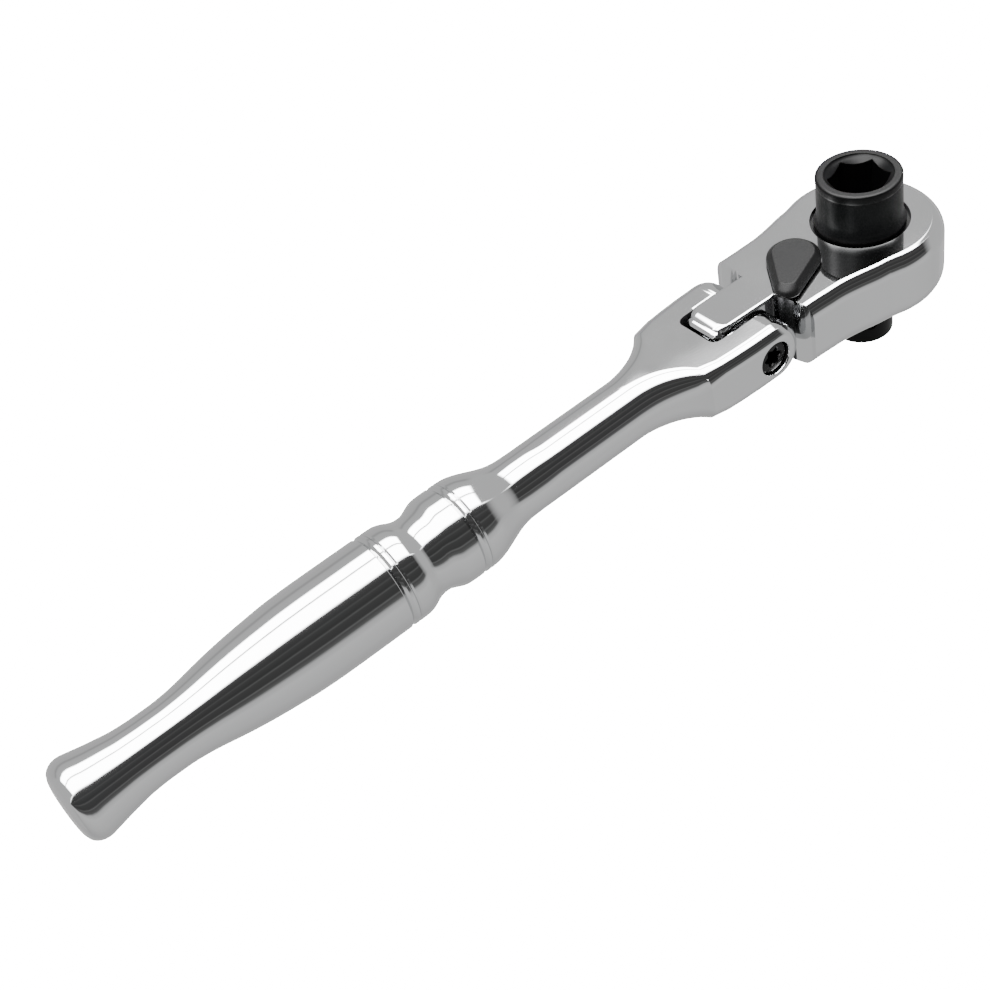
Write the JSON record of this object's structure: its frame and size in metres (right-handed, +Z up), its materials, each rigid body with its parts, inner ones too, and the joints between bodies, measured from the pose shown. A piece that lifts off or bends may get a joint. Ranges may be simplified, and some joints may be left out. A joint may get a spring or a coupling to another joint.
{
  "type": "flex-head ratchet wrench",
  "caption": "Pocket ratchet wrench with a hinged head, a through drive carrying a hex socket at each end, a reversing lever and a turned steel grip.",
  "frame": {"origin": "bottom centre of the box around the whole tool, level with the lower socket's rim", "axes": "+X along the tool towards the head, +Z up the drive axis out of the larger socket, +Y to the side away from the pivot screw's head"},
  "size_m": [0.1901, 0.0306, 0.0351],
  "materials": {
    "chrome_plate": "polished chrome plate",
    "black_oxide_steel": "satin black oxide",
    "plain_steel": "ground",
    "spring_steel": "drawn wire"
  },
  "bodies": {
    "handle": {"handle": "chrome_plate", "pivot_screw": "black_oxide_steel", "pivot_washer_near": "plain_steel", "pivot_washer_far": "plain_steel", "flex_detent_ball": "plain_steel", "flex_detent_spring": "spring_steel"},
    "head": {"head_body": "chrome_plate", "retaining_ring": "spring_steel", "thrust_washer": "plain_steel", "pawl_pin": "plain_steel", "lever_base_washer": "black_oxide_steel"},
    "drive": {"drive_gear": "black_oxide_steel", "bit_retaining_ball": "plain_steel"},
    "pawl": {"pawl": "plain_steel"},
    "lever": {"reversing_lever": "black_oxide_steel", "lever_clip": "spring_steel", "pawl_plunger": "plain_steel", "pawl_spring": "spring_steel"}
  },
  "joints": [
    {"name": "head_flex", "type": "hinge", "parent": "handle", "child": "head", "pos_m": [0.04663, 0, 0.0183], "axis": [0, 1, 0], "range_deg": [-75, 85]},
    {"name": "drive_spin", "type": "hinge", "parent": "head", "child": "drive", "pos_m": [0.07973, 0, 0.0183], "axis": [0, 0, 1], "continuous": true},
    {"name": "lever_switch", "type": "hinge", "parent": "head", "child": "lever", "pos_m": [0.06263, 0, 0.0183], "axis": [0, 0, 1], "range_deg": [-76, 0]},
    {"name": "pawl_rock", "type": "hinge", "parent": "head", "child": "pawl", "pos_m": [0.06763, 0, 0.0183], "axis": [0, 0, 1], "range_deg": [0, 12]}
  ],
  "couplings": [
    {"joint": "pawl_rock", "follows": "lever_switch", "ratio": -0.15789}
  ]
}
